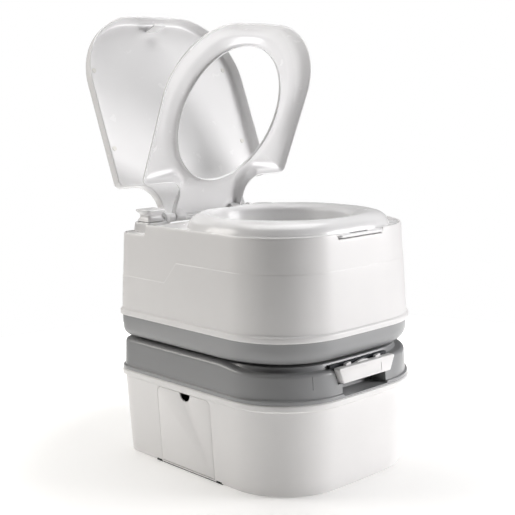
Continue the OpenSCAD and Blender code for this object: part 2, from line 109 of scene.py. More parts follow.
def joined(arcs, counts):
    """One closed outline: the arcs in turn, with counts[k] points on the line after arc k."""
    out = []
    for k, points in enumerate(arcs):
        out += points + between(points[-1], arcs[(k + 1) % len(arcs)][0], counts[k])
    return out


def bowed(points, half, bow):
    """Moves front points forward by the bow, which fades out towards the sides."""
    return [Vector((x, y - bow * (1 - (x / half) ** 2) if y < 0 else y)) for x, y in points]


def plan(w, yf, rf, yb, rb, bow, steps=(12, 24), lines=(30, 60, 32, 60)):
    """Rounded outline with half width w, front yf, back yb and the two corner radii."""
    arcs = [
        arc(w - rb, yb - rb, rb, 0, 90, steps[0]),
        arc(rb - w, yb - rb, rb, 90, 180, steps[0]),
        arc(rf - w, yf + rf, rf, 180, 270, steps[1]),
        arc(w - rf, yf + rf, rf, 270, 360, steps[1]),
    ]
    return bowed(joined(arcs, lines), w, bow)


def body(i):
    """Outline of the body, moved inwards by i."""
    return plan(HALF - i, i - BACK, FRONT_R - i, BACK - i, max(BACK_R - i, 2), BOW)


def necked(w, yf, rf, yb, nk, f, ye, bow, i):
    """Like plan, with a neck of half width nk back to ye between two round cut-outs of radius f."""
    rb = 12 - min(i, 10)
    neck, wing = nk - i - 3, yb - i - rb
    arcs = [
        arc(w - i - rb, wing, rb, 0, 90, 6),
        arc(nk + f, yb + f, f + i, 270, 180, 16),
        arc(neck, ye - i - 3, 3, 0, 90, 4),
        arc(-neck, ye - i - 3, 3, 90, 180, 4),
        arc(-nk - f, yb + f, f + i, 360, 270, 16),
        arc(rb + i - w, wing, rb, 90, 180, 6),
        arc(rf - w, yf + rf, rf - i, 180, 270, 26),
        arc(w - rf, yf + rf, rf - i, 270, 360, 26),
    ]
    return bowed(joined(arcs, (4, 4, 18, 4, 4, 18, 12, 18)), w, bow)


def seat_outline(i):
    """Outline of the seat, moved inwards by i."""
    return necked(160.7, -182.8, 117.6, 88.2, 75, 28, HINGE_Y + 3, 6.8, i)


def lid_outline(i):
    """Outline of the lid, moved inwards by i."""
    return necked(168.4, -210.5, 118, 93.4, 92, 38, HINGE_Y + 6.3, 3, i)


def collar_outline(i):
    """Outline of the bowl's collar, moved inwards by i."""
    return plan(159 - i, i - 181.5, 116 - i, 116 - i, 150 - i, 6.5, (30, 30), (3, 6, 12, 6))


def on_ellipse(p, a, b):
    """The point of an ellipse round the bowl centre that lies in the direction of p."""
    d = p - CENTRE
    return CENTRE + d / math.hypot(d.x / a, d.y / b)


def smooth(t):
    """Soft step from 0 to 1."""
    t = min(max(t, 0), 1)
    return t * t * (3 - 2 * t)


def mix(a, b, t):
    """Points a share t of the way from the points a to the points b."""
    return [p.lerp(q, t) for p, q in zip(a, b)]


def at_z(points, z):
    """The points raised to one height."""
    return [Vector((p.x, p.y, z)) for p in points]


# ---------- profiles ----------
def curve(points, per=4):
    """Smooth line through the points (centripetal Catmull-Rom), with per steps between neighbours."""
    pts = [Vector(p) for p in points]
    pts = [2 * pts[0] - pts[1]] + pts + [2 * pts[-1] - pts[-2]]
    out = []
    for k in range(1, len(pts) - 2):
        p = pts[k - 1 : k + 3]
        t = [0.0]
        for a, b in zip(p, p[1:]):
            t.append(t[-1] + max((b - a).length, 1e-6) ** 0.5)

        def blend(a, b, low, high, s):
            return a.lerp(b, (s - t[low]) / (t[high] - t[low]))

        for j in range(per):
            s = t[1] + (t[2] - t[1]) * j / per
            a = [blend(p[m], p[m + 1], m, m + 1, s) for m in range(3)]
            b = [blend(a[m], a[m + 1], m, m + 2, s) for m in range(2)]
            out.append(blend(b[0], b[1], 1, 2, s))
    return out + [pts[-2]]


def rounded(corners, n=4):
    """Line through corners (a, b, radius), each inner one rounded by about its radius."""
    pts = [Vector(c[:2]) for c in corners]
    out = [pts[0]]
    for k in range(1, len(pts) - 1):
        p, q, s, r = pts[k - 1], pts[k], pts[k + 1], corners[k][2]
        if r == 0:
            out.append(q)
            continue
        u, v = (p - q), (s - q)
        cut = min(r / math.tan(max(u.angle(v), 0.2) / 2), 0.48 * u.length, 0.48 * v.length)
        a, b = q + u.normalized() * cut, q + v.normalized() * cut
        out += [a.lerp(q, t).lerp(q.lerp(b, t), t) for t in (j / n for j in range(n + 1))]
    return out + [pts[-1]]


def thick(path, t, turns=4):
    """Closed profile of a wall t thick to the right of the path, with round edges. Its third value
    says how much of the wall lies between the point and the path's side."""
    right = []
    for k, p in enumerate(path):
        d = path[min(k + 1, len(path) - 1)] - path[max(k - 1, 0)]
        right.append(p + Vector((d.y, -d.x)).normalized() * t)

    def edge(a, b, start, end):
        middle, arm = (a + b) / 2, (a - b) / 2
        for k in range(1, turns):
            turned = Matrix.Rotation(-math.pi * k / turns, 2) @ arm
            yield (*(middle + turned), start + (end - start) * k / turns)

    out = [(*p, 0) for p in path] + list(edge(path[-1], right[-1], 0, t))
    return out + [(*p, t) for p in reversed(right)] + list(edge(right[0], path[0], t, 0))


# ---------- meshes ----------
def loft(rings, closed=False):
    """Skin over rings with the same number of points; it ends in flat caps, or closes on itself."""
    bm = bmesh.new()
    rows = [[bm.verts.new(p) for p in ring] for ring in rings]
    pairs = list(zip(rows, rows[1:])) + ([(rows[-1], rows[0])] if closed else [])
    for a, b in pairs:
        for k in range(len(a)):
            m = (k + 1) % len(a)
            bm.faces.new((a[k], a[m], b[m], b[k]))
    if not closed:
        bm.faces.new(rows[0][::-1])
        bm.faces.new(rows[-1])
    return bm


def extruded(points, low, high, axis="x", edge=0.0, steps=2):
    """Prism over a flat outline, from low to high along the axis, with its edges rounded."""
    place = {
        "x": lambda p, t: (t, p[0], p[1]),
        "y": lambda p, t: (p[0], t, p[1]),
        "z": lambda p, t: (p[0], p[1], t),
    }
    bm = loft([[Vector(place[axis](p, t)) for p in points] for t in (low, high)])
    bmesh.ops.recalc_face_normals(bm, faces=bm.faces)
    if edge:
        rims = [e for e in bm.edges if e.calc_face_angle(0) > 0.6]
        bmesh.ops.bevel(
            bm, geom=rims, offset=edge, segments=steps, profile=0.5, affect="EDGES", clamp_overlap=True)
    return bm


def block(low, high, edge=0.0, steps=3):
    """Box between two corners, with rounded edges."""
    x0, y0, z0 = low
    x1, y1, z1 = high
    return extruded([(x0, y0), (x1, y0), (x1, y1), (x0, y1)], z0, z1, "z", edge, steps)


def merged(*parts):
    """The parts as separate closed shells in one mesh."""
    out = bmesh.new()
    for part in parts:
        mesh = bpy.data.meshes.new("part")
        part.to_mesh(mesh)
        part.free()
        out.from_mesh(mesh)
        bpy.data.meshes.remove(mesh)
    return out


def mirrored(bm):
    """A copy on the other side of the middle plane."""
    out = bm.copy()
    bmesh.ops.scale(out, vec=(-1, 1, 1), verts=out.verts)
    bmesh.ops.reverse_faces(out, faces=out.faces)
    return out


def solid(name, bm, matrix=None):
    """An object in metres from a mesh in millimetres."""
    bmesh.ops.recalc_face_normals(bm, faces=bm.faces)
    bm.transform(Matrix.Scale(MM, 4) @ (matrix or Matrix.Identity(4)))
    mesh = bpy.data.meshes.new(name)
    bm.to_mesh(mesh)
    bm.free()
    obj = bpy.data.objects.new(name, mesh)
    bpy.context.scene.collection.objects.link(obj)
    return obj


def carve(obj, *cutters, operation="DIFFERENCE"):
    """Cuts meshes or objects out of obj, or keeps only what they share with it, and applies the result."""
    tools = []
    for k, cutter in enumerate(cutters):
        ready = isinstance(cutter, bpy.types.Object)
        tools.append(cutter if ready else solid(f"{obj.name}_tool_{k}", cutter))
    for tool in tools:
        cut = obj.modifiers.new("carve", "BOOLEAN")
        cut.operation, cut.solver, cut.object = operation, "EXACT", tool
    bpy.context.view_layer.update()
    obj.data = bpy.data.meshes.new_from_object(obj.evaluated_get(bpy.context.evaluated_depsgraph_get()))
    obj.modifiers.clear()
    for tool in tools:
        bpy.data.objects.remove(tool)
    return obj


def dress(obj, material, rider, nodes, sharp=32):
    """Shades a new piece and says what it is made of, what it rides on and what it stands for."""
    obj.data.shade_smooth()
    obj.data.set_sharp_from_angle(angle=math.radians(sharp))
    obj.data.materials.clear()
    obj.data.materials.append(material)
    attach(obj, rider)
    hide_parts(*nodes)
    return obj


# ---------- materials ----------
def plastic(name, colour, rough, grain, mottle=0.03, coat=0.0, depth=0.00012, metal=0.0, pores=1400):
    """Moulded plastic, rubber or metal: a faint mottle in its colour and gloss, and a fine surface grain."""
    mat = bpy.data.materials.new(name)
    mat.use_nodes = True
    tree = mat.node_tree
    shader = tree.nodes["Principled BSDF"]
    shader.inputs["Metallic"].default_value = metal
    shader.inputs["Coat Weight"].default_value = coat
    shader.inputs["Coat Roughness"].default_value = 0.08

    def add(kind, **values):
        node = tree.nodes.new(kind)
        for key, value in values.items():
            node.inputs[key].default_value = value
        return node

    coord = add("ShaderNodeTexCoord")
    cloud = add("ShaderNodeTexNoise", Scale=14, Detail=4, Roughness=0.6)
    fine = add("ShaderNodeTexNoise", Scale=pores, Detail=2, Roughness=0.5)
    flow = add("ShaderNodeTexNoise", Scale=45, Detail=3, Roughness=0.55)
    for noise in (cloud, fine, flow):
        tree.links.new(coord.outputs["Object"], noise.inputs["Vector"])
    tint = tree.nodes.new("ShaderNodeMix")
    tint.data_type = "RGBA"
    tint.inputs[6].default_value = (*[c * (1 - mottle) for c in colour], 1)
    tint.inputs[7].default_value = (*[min(c * (1 + mottle), 1) for c in colour], 1)
    tree.links.new(cloud.outputs["Fac"], tint.inputs[0])
    tree.links.new(tint.outputs[2], shader.inputs["Base Color"])
    span = {"From Min": 0.3, "From Max": 0.7, "To Min": rough * 0.94, "To Max": rough * 1.06}
    gloss = add("ShaderNodeMapRange", **span)
    tree.links.new(flow.outputs["Fac"], gloss.inputs["Value"])
    tree.links.new(gloss.outputs["Result"], shader.inputs["Roughness"])
    bump = add("ShaderNodeBump", Strength=grain, Distance=depth)
    tree.links.new(fine.outputs["Fac"], bump.inputs["Height"])
    tree.links.new(bump.outputs["Normal"], shader.inputs["Normal"])
    return mat


WHITE = plastic("white_abs", (0.80, 0.79, 0.785), 0.36, 0.25)
GLOSS = plastic("gloss_white_abs", (0.82, 0.815, 0.815), 0.26, 0.12, mottle=0.015, coat=0.15)
GREY = plastic("grey_abs", (0.29, 0.293, 0.298), 0.34, 0.3, coat=0.2)
# DARK also colours the block in the latch slot, which is painted shade there
DARK = plastic("dark_nylon_and_painted_shade", (0.035, 0.038, 0.046), 0.45, 0.5, mottle=0.1)
# RUBBER_AND_SHADE also colours the strip under the access panel, which is painted shade there
RUBBER_AND_SHADE = plastic("black_rubber_and_painted_shade", (0.018, 0.018, 0.019), 0.75, 0.7, mottle=0.15, pores=900)
STEEL = plastic("stainless_steel", (0.62, 0.61, 0.6), 0.28, 0.2, metal=1.0, pores=2600)
NATURAL = plastic("natural_polythene", (0.7, 0.69, 0.65), 0.5, 0.3)


# ---------- waste unit ----------
def rings(profile):
    """Body rings for a profile of (inset, height)."""
    return [at_z(body(p[0]), p[1]) for p in profile]


def blended(front, sides):
    """Body rings that follow one profile at the front and the other round the sides and back."""
    out = []
    for (i, low), (j, high) in zip(front, sides):
        ring = []
        for p, q in zip(body(i), body(j)):
            k = smooth((p.y + 130) / 80)
            ring.append(Vector((*p.lerp(q, k), low + (high - low) * k)))
        out.append(ring)
    return out


def wall_x(z):
    """Outside of the tub's left wall at a height."""
    t = (z - 6) / (134 - 6)
    return FOOT_INSET + (LIP_INSET - FOOT_INSET) * t - HALF


def panel_outline(grow):
    """Outline of the access panel in Y and Z, with its round upper corners."""
    y0, y1 = PANEL_Y[0] - grow, PANEL_Y[1] + grow
    r, z1 = 9, PANEL_TOP + grow
    low = 5.9 - 2 * grow
    return [(y0, low), (y1, low)] + arc(y1 - r, z1 - r, r, 0, 90, 8) + arc(y0 + r, z1 - r, r, 90, 180, 8)


def make_tub():
    """White tub with its rolled lip, the opening for the access panel, hinge lugs, dark feet, and a dark
    strip under the panel that is painted shade.
    """
    profile = rounded([
        (60, 0, 0), (FOOT_INSET + 0.6, 0, 6), (LIP_INSET, 134.5, 1.2), (0, 137.4, 2.4), (0, 144.6, 2.2),
        (2.5, TUB_TOP, 0.8), (6, TUB_TOP, 0.5), (8.5, 134, 1), (FOOT_INSET + 3.4, 4, 4), (60, WALL, 0)], 5)
    tub = solid("tub_shell", loft(rings(profile)))
    slots = [block((-190, y0, -2), (-160, y1, 4.5)) for y0, y1 in ((94, 108), (-56, -42))]
    gap = block((-190, PANEL_Y[0], -2), (-160, PANEL_Y[1], 1.8))
    carve(tub, extruded(panel_outline(0.6), -190, -150), gap, *slots)
    dress(tub, WHITE, "base", ["base_tub"])
    lugs = [block((-164.5, y, 5.5), (-158, y + 5, 16), 0.8) for y in (PANEL_Y[0] - 5.6, PANEL_Y[1] + 0.6)]
    feet = [block((-164.6, y0, 0.2), (-159, y1, 4.3)) for y0, y1 in ((93, 109), (-57, -41))]
    # dark strip seen through the cut under the access panel: painted shade of the gap beneath the panel
    strip = block((-164.2, PANEL_Y[0], 0.2), (-160.5, PANEL_Y[1], 2.6))
    dress(solid("tub_feet_and_gap_shade", merged(strip, *feet)), RUBBER_AND_SHADE, "base", ["base_tub"])
    dress(solid("panel_lugs", merged(*lugs)), WHITE, "base", ["base_tub"])


def make_panel():
    """Access panel: it follows the slope of the wall, with a finger notch in its upper edge."""
    outline = panel_outline(0)
    top = outline[:11] + arc(PANEL_NOTCH_Y, 133, 13, -2, -178, 16) + outline[11:]
    bm = extruded(top, 0, WALL, "x", 0.6)
    for v in bm.verts:
        v.co.x += wall_x(v.co.z)
    panel = solid("panel_door", bm)
    dress(panel, WHITE, "panel", ["side_panel"])
    pin = bmesh.new()
    turn = Matrix.Translation((-164.9, 26, 8.5)) @ Matrix.Rotation(math.pi / 2, 4, "X")
    bmesh.ops.create_cone(pin, cap_ends=True, segments=24, radius1=1.1, radius2=1.1, depth=138, matrix=turn)
    ribs = [block((-166.5, y, 40), (-162.5, y + 2, 120), 0.4) for y in (-20, 60)]
    dress(solid("panel_hinge", merged(pin, *ribs)), WHITE, "panel", ["side_panel"])


def notches(g):
    """What the waste tank leaves free, grown by g: the side compartment and the handle's recess."""
    low, high = 168.5 - g, 210
    flare = loft([
        [Vector((x, y, z)) for x, z in ((-a - g, low), (a + g, low), (b + g, high), (-b - g, high))]
        for y, a, b in ((-216, 72, 84), (-204, 59.5, 70), (RECESS_Y + g, 59.5, 70))])
    return [
        block((-200, PANEL_Y[0] - 6.6 - g, -1), (-112 + g, PANEL_Y[1] + 6.6 + g, 139 + g)),
        flare,
        block((-50 - g, -230, 149.5 - g), (50 + g, -176 + g, 169), 1.5),
    ]


def make_tank():
    """Hollow grey tank: a rounded shoulder, a lower front, the handle recess and fine seams."""
    foot = [(60, 3.2, 0), (18, 3.2, 8), (11, TUB_TOP, 0), (2.2, TUB_TOP, 0.5), (1.5, 147.4, 0.6),
            (1.5, 152.6, 1.6), (5, 153.4, 1.6)]
    flat = [(24, WASTE_TOP, 2), (70, WASTE_TOP, 0)]
    front = rounded(foot + [(7.2, 191.5, 7), (22, 190.5, 2)] + flat, 6)
    sides = rounded(foot + [(7.4, 197.6, 7), (22, WASTE_TOP - 0.3, 2)] + flat, 6)
    inner = rounded([(60, 6.2, 0), (21, 6.2, 8), (14, TUB_TOP, 0), (10.4, 187, 4), (25, 187, 1),
                     (27, WASTE_TOP - WALL, 1), (70, WASTE_TOP - WALL, 0)], 4)
    tank = solid("tank_shell", loft(blended(front, sides)))
    carve(tank, *notches(0))
    hollow = solid("tank_hollow", loft(rings(inner)))
    carve(hollow, *notches(WALL))
    carve(tank, hollow)
    mouth = extruded(circle(CENTRE.x, CENTRE.y, MOUTH_R + 9, 48), 190, 210, "z")
    slot = block((-64.6, RECESS_Y - 1, 173.9), (64.6, RECESS_Y + WALL + 1, 196))
    port = extruded(circle(*SPOUT_AT, 16.1, 48), -118, -106)
    vent = extruded(circle(*VENT_AT, 3.1), -118, -106)
    seams = [block((x - 0.35, -216, 167), (x + 0.35, -192.8, 189)) for x in (-103, 103)]
    carve(tank, mouth, slot, port, vent, *seams)
    dress(tank, GREY, "base", ["waste_tank"])
    ears = [block((x, 194.5, 170), (x + 5, 207, 182), 1) for x in (23, -28)]
    dress(solid("latch_ears", merged(*ears)), GREY, "base", ["waste_tank"])


def make_handle():
    """Pull handle: a trapezoid with rounded edges, a plain sunk field, and a lip with two tabs behind."""
    front, back, z0, z1 = -212, -199.5, 170, 194
    outline = [(54, z0), (63.5, z1 - 2), (62, z1), (-62, z1), (-63.5, z1 - 2), (-54, z0)]
    grip = solid("handle_grip", extruded(outline, front, back, "y", 1.4, 3))
    field = extruded([(32, 174), (32, 187), (-32, 187), (-32, 174)], front - 2, front + 0.5, "y", 0)
    hollow = block((-48, -206, 160), (48, -190, 180), 2)
    carve(grip, field, hollow)
    dress(grip, WHITE, "valve", ["valve_handle"])
    lip = arc(0, 150, 50, 60, 120, 20)
    lip = [(x, z - 4.1) for x, z in lip] + [(-28, 188), (28, 188)]
    tabs = []
    for x in (-35, 33):
        tab = [(x - 7, 190), (x + 7, 190), (x + 5.5, 198.2), (x - 5.5, 197)]
        tabs.append(extruded(tab, -204, -198.6, "y", 0.7))
    lips = merged(extruded(lip, -202.6, -197.6, "y", 0.8), *tabs)
    dress(solid("handle_lip", lips), WHITE, "valve", ["valve_handle"])


# ---------- flush unit ----------
def make_tray():
    """Grey tray of the flush unit: a quarter round from its flat underside up to the white shell."""
    steps = [math.pi / 2 * k / 12 for k in range(13)]
    lip = [(3.6, TRAY_TOP), (6.9, TRAY_TOP), (6.9, TRAY_TOP + 5), (9.5, TRAY_TOP + 5)]

    def profile(r):
        outer = [(4 + r * (1 - math.sin(a)), TRAY_Z + r * (1 - math.cos(a))) for a in steps]
        inner = [(i + WALL * math.sin(a), z + WALL * math.cos(a)) for (i, z), a in zip(outer, steps)]
        return [(60, TRAY_Z)] + outer + lip + inner[::-1] + [(60, TRAY_Z + WALL)]

    tray = solid("tray_shell", loft(blended(profile(25), profile(15))))
    carve(tray, extruded(circle(CENTRE.x, CENTRE.y, MOUTH_R + 8, 48), 190, 230, "z"))
    dress(tray, GREY, "base", ["flush_tray"])
    feet = []
    for x in (-95, 95):
        for y in (-120, 120):
            feet.append(extruded(circle(x, y, 9), WASTE_TOP, TRAY_Z + 1, "z", 0.5))
    catch = block((-18, 196.5, 218), (18, 201.4, 223), 0.8)
    dress(solid("tray_feet", merged(catch, *feet)), GREY, "base", ["flush_tray"])


def line_z(p):
    """Height of the styling line on the shell: high at the front, and low behind its slanted step."""
    t = min(max((p.y - 36) / (65 - 36), 0), 1)
    return 340 - 34 * t


def rim_top(p):
    """Height of the shell's rim: lower at the back ledge, and under the finger lip in front."""
    if p.y > STEP_Y - 1.5:
        return LEDGE_Z
    return 385.5 if p.y < -150 and abs(p.x) < 51 else RIM_Z


def make_shell():
    """White shell: a ridge over the tray, then tapering walls with a fine step, and a rounded rim."""
    base = body(0)
    foot_z, foot_i = TRAY_TOP + 9.4, 3.5

    def inset(z):
        return foot_i + (RIM_INSET - 0.4 - foot_i) * (z - foot_z) / (RIM_Z - 2.5 - foot_z)

    ridge = rounded([
        (4.5, TRAY_TOP, 0), (0, TRAY_TOP, 1.6), (0, TRAY_TOP + 8, 3.2), (foot_i, foot_z + 1, 1),
        (foot_i + 0.15, foot_z + 4, 0)], 5)
    out = rings(ridge)
    cache = {}

    def point(k, i, z):
        key = round(i, 3)
        if key not in cache:
            cache[key] = body(key)
        p = cache[key][k]
        return Vector((p.x, p.y, z))

    def ring(height, extra):
        made = []
        for k, p in enumerate(base):
            z = height(p)
            made.append(point(k, inset(z) + extra, z))
        return made

    step = 0.5
    for t in (0.12, 0.4, 0.7, 0.95):
        out.append(ring(lambda p: foot_z + (line_z(p) - 0.9 - foot_z) * t, -step * min(t * 4, 1)))
    for dz, extra in ((-0.9, -step), (-0.35, -step * 0.95), (0.1, -step * 0.4), (0.5, 0), (1.2, 0)):
        out.append(ring(lambda p: line_z(p) + dz, extra))
    for t in (0.1, 0.4, 0.7, 0.95):
        out.append(ring(lambda p: line_z(p) + 1.2 + (rim_top(p) - 3 - line_z(p) - 1.2) * t, 0))
    rim = ((-2.4, 0.05), (-1.0, 0.4), (-0.25, 1.0), (0, 1.6), (-0.25, 2.3), (-1.0, 2.8), (-3, 3.0))
    for dz, extra in rim:
        out.append(ring(lambda p: rim_top(p) + dz, extra))
    out.append(ring(lambda p: foot_z + 6, WALL + 0.2))
    out.append(at_z(body(6.6), TRAY_TOP))
    shell = solid("flush_shell_walls", loft(out, closed=True))
    dress(shell, WHITE, "base", ["flush_shell"], 40)


def crest_z(d):
    """Height of the crest at a distance d from the opening: it stays under the closed seat."""
    knots = [(0, 400.6), (1.2, 403.8), (2.6, 405.4), (5.5, 408.5), (10, 410.8), (15, 411.8), (20, COLLAR_Z)]
    for (a, low), (b, high) in zip(knots, knots[1:]):
        if d <= b:
            return low + (high - low) * (d - a) / (b - a)
    return COLLAR_Z


def crest():
    """Profile of the collar and the crest as (inset, height)."""
    over = [(0.35, 0), (0.6, -0.2), (0.85, -3), (0.97, -7)]
    slope = [(0, 388), (1.2, 392), (2.6, 396.5), (7, 403.5), (SHOULDER, 409)]
    return slope + [(SHOULDER + CREST_WIDTH * t, COLLAR_Z + z) for t, z in over]


def under_seat(gap):
    """Solid over the collar and crest, grown by a gap, that the closed seat has to clear."""
    shoulder = collar_outline(SHOULDER)
    rim = [on_ellipse(p, HOLE_A, HOLE_B) for p in shoulder]
    out = [at_z(collar_outline(-gap), 370)]
    for s, z in curve(crest(), 3):
        s = max(s, 0)
        sloping = s <= SHOULDER
        ring = collar_outline(s - gap) if sloping else mix(shoulder, rim, (s - SHOULDER) / CREST_WIDTH)
        out.append([Vector((p.x, p.y, min(z, crest_z((p - q).length)) + gap)) for p, q in zip(ring, rim)])
    return loft(out + [at_z(rim, 400)])


def make_bowl():
    """Raised collar, rounded crest and basin in one smooth skin down to the outlet."""
    shoulder = collar_outline(SHOULDER)
    rim = [on_ellipse(p, HOLE_A, HOLE_B) for p in shoulder]
    outlet = [on_ellipse(p, MOUTH_R, MOUTH_R) for p in shoulder]
    inner, down = SHOULDER + CREST_WIDTH, 62

    def band(s):
        if s <= SHOULDER:
            return collar_outline(s)
        if s <= inner:
            return mix(shoulder, rim, (s - SHOULDER) / CREST_WIDTH)
        return mix(rim, outlet, (s - inner) / down)

    basin = [(0, -13), (0.1, -37.5), (0.3, -82.5), (0.62, -142.5), (0.9, -184.5), (0.99, -203), (1, -210.5)]
    path = curve(crest() + [(inner + down * t, COLLAR_Z + z) for t, z in basin], 4)
    out = []
    for s, z, less in thick(path, 2.8):
        ring = band(min(max(s, 0), inner + down))
        if SHOULDER < s <= inner:
            heights = [min(z, crest_z((p - q).length) - less) for p, q in zip(ring, rim)]
            out.append([Vector((p.x, p.y, h)) for p, h in zip(ring, heights)])
        else:
            out.append(at_z(ring, z))
    bowl = solid("bowl_basin", loft(out, closed=True))
    nozzle = extruded(circle(0, 366, 5.1), 66, 110, "y")
    carve(bowl, nozzle)
    dress(bowl, GLOSS, "base", ["bowl"], 50)


def make_deck():
    """Deck round the collar, its step down to the back ledge, the finger lip and the hinge posts."""
    i = RIM_INSET + WALL + 0.4

    def plate(z):
        profile = rounded([(60, z - WALL, 0), (i, z - WALL, 0), (i, z, 1.2), (60, z, 0)], 4)
        return loft(rings(profile))

    deck = solid("deck_plate", plate(DECK_Z))
    carve(deck, block((-200, -300, 350), (200, STEP_Y + WALL, 420)), operation="INTERSECT")
    collar = [tuple(p) for p in collar_outline(3.5)]
    carve(deck, extruded(collar, 350, 420, "z"), block(*LATCH_SLOT))
    dress(deck, GLOSS, "base", ["bowl"])
    ledge = solid("back_ledge", plate(LEDGE_Z))
    carve(ledge, block((-200, STEP_Y, 350), (200, 300, 420)), operation="INTERSECT")
    cap_hole = extruded(circle(*CAP_AT, 17.2, 48), 360, 390, "z")
    pump_hole = extruded(circle(*PUMP_AT, 14.4, 48), 360, 390, "z")
    carve(ledge, cap_hole, pump_hole)
    dress(ledge, GLOSS, "base", ["bowl"])
    riser = block((-158, STEP_Y, LEDGE_Z - WALL), (158, STEP_Y + WALL, DECK_Z - 0.3), 0.8)
    dress(solid("deck_riser", riser), GLOSS, "base", ["bowl"])
    tip = arc(44, -198.6, 5, -90, 0, 8) + [(49, -186), (-49, -186)] + arc(-44, -198.6, 5, 180, 270, 8)
    lip = solid("finger_lip", extruded(tip, 387.5, 392.2, "z", 2, 4))
    carve(lip, block(*LATCH_SLOT))
    dress(lip, GLOSS, "base", ["bowl"])
    # dark block on the far wall of the latch slot: painted shade, standing in for the shadow down in the slot
    slot_shade_block = block((-21, -191.5, 386.5), (21, -190.3, 391.9))
    dress(solid("latch_slot_painted_shade", slot_shade_block), DARK, "base", ["bowl"])
    foot_z = LEDGE_Z - 0.5
    side = arc(HINGE_Y, HINGE_Z, 10, 0, 180, 16) + [(HINGE_Y - 11, foot_z), (HINGE_Y + 11, foot_z)]
    post = extruded(side, 93, 99.5, "x", 0.9)
    dress(solid("hinge_posts", merged(mirrored(post), post)), GLOSS, "base", ["bowl"])


def square_loft(profile, centre):
    """Rounded-square turned shape for a profile of (half size, height)."""
    out = []
    for half, z in profile:
        points = plan(half, -half, 5, half, 5, 0, (8, 8), (4, 4, 4, 4))
        out.append([Vector((p.x + centre[0], p.y + centre[1], z)) for p in points])
    return loft(out)


def make_pump():
    """Square foot on the back ledge, the pump barrel, and the waisted grip of the pump."""
    foot = rounded([(10, LEDGE_Z + 0.1, 0), (22, LEDGE_Z + 0.1, 1.5), (20.4, 392.9, 2.5), (6, 392.9, 0)], 5)
    barrel = extruded(circle(*PUMP_AT, 14), 250, LEDGE_Z + 1, "z", 1)
    housing = merged(square_loft(foot, PUMP_AT), barrel)
    dress(solid("pump_body", housing), GLOSS, "base", ["pump_housing"])
    sides = [(17.5, 394.2), (16.6, 396), (14.6, 399.5), (14, 402.5), (15, 406), (17.5, 409), (18.8, 410.8)]
    crown = rounded([(19, 411.4, 0), (19, 413.5, 1.6), (8, 413.5, 0)], 4)
    profile = [(8, 393.5), (16.5, 393.5)] + curve(sides, 4) + crown
    dress(solid("pump_grip", square_loft(profile, PUMP_AT)), GLOSS, "pump", ["pump_knob"], 50)


def fluted(profile, n, depth, points=144):
    """Turned shape whose side is fluted for the fingers; profile is (radius, height, share of the flutes)."""
    out = []
    for r, z, share in profile:
        turn = [2 * math.pi * k / points for k in range(points)]
        out.append([Vector(((r + share * depth * math.cos(n * a)) * math.cos(a),
                            (r + share * depth * math.cos(n * a)) * math.sin(a), z)) for a in turn])
    return loft(out)


def make_caps():
    """Fluted water cap on the back ledge and the fluted screw cap of the pour spout."""
    low = LEDGE_Z + 2.4
    high = low + 22
    outside = [(10, high, 0), (18.5, high, 0), (20.3, high - 0.5, 0), (21.3, high - 1.6, 0.3),
               (21.6, high - 3, 1), (21.8, low + 1, 1), (21.2, low, 1)]
    inside = [(17.6, low, 0), (17.6, high - 4, 0), (10, high - 4, 0)]
    cap = fluted(outside + inside, 24, 0.5)
    water_cap = solid("water_cap", cap, Matrix.Translation((*CAP_AT, 0)))
    dress(water_cap, GLOSS, "cap", ["fill_cap"], 40)
    outside = [(8, 57, 0), (13.5, 57, 0), (15.6, 56.4, 0), (16.6, 55, 1), (16.9, 35, 1), (16.2, 34, 1)]
    inside = [(14.3, 34, 0), (14.3, 51, 0), (8, 51, 0)]
    spout = fluted(outside + inside, 12, 0.5)
    screw_cap = solid("spout_screw_cap", spout, Matrix.Translation((-136, *SPOUT_AT)))
    dress(screw_cap, DARK, "spout_lid", ["spout_cap"], 40)


def make_latch():
    """Rear latch: a flat clip with a hooked top, and grip ribs on its back."""
    y = 203
    side = [(y - 1, 172), (y + 2, 171), (y + 2, 231), (y + 6, 234), (y + 4, 236), (y - 1, 233),
            (y - 3.8, 228), (y - 3.8, 223.6), (y - 1, 223.6)]
    barrel = extruded(circle(y, 176, 4.8), -20, 20, "x", 0.6)
    ribs = [block((-14, y + 1.4, z), (14, y + 3.2, z + 2.2), 0.7) for z in (208, 213, 218)]
    clip = merged(extruded(side, -20, 20, "x", 0.7), barrel, *ribs)
    dress(solid("latch_clip", clip), DARK, "latch", ["rear_latch"])


def make_vent_spring():
    """Coil spring under the vent button."""
    low, high = node_box("vent_spring")
    cy, cz = (low.y + high.y) / 2, (low.z + high.z) / 2
    wire, turns, sides, steps = 0.35, 3.5, 10, 150
    coil = (high.y - low.y) / 2 - wire - 0.2
    path = []
    for k in range(steps + 1):
        a = 2 * math.pi * turns * k / steps
        x = low.x + wire + (high.x - low.x - 2 * wire) * k / steps
        path.append(Vector((x, cy + coil * math.cos(a), cz + coil * math.sin(a))))
    out = []
    for k, p in enumerate(path):
        t = (path[min(k + 1, steps)] - path[max(k - 1, 0)]).normalized()
        u = Vector((0, p.y - cy, p.z - cz)).normalized()
        v = t.cross(u)
        ring = [2 * math.pi * m / sides for m in range(sides)]
        out.append([p + wire * (math.cos(a) * u + math.sin(a) * v) for a in ring])
    spring = dress(solid("vent_coil", loft(out)), STEEL, "base", ["vent_spring"])
    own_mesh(spring)


# ---------- seat and lid: drawn closed round the hinge axis, then turned open ----------
def opened(angle):
    """Turns a piece drawn flat round the hinge axis, open by an angle, and lifts it to the axis."""
    turn = Matrix.Rotation(-angle, 4, "X")
    return Matrix.Translation((0, HINGE_Y, HINGE_Z)) @ turn @ Matrix.Translation((0, -HINGE_Y, 0))


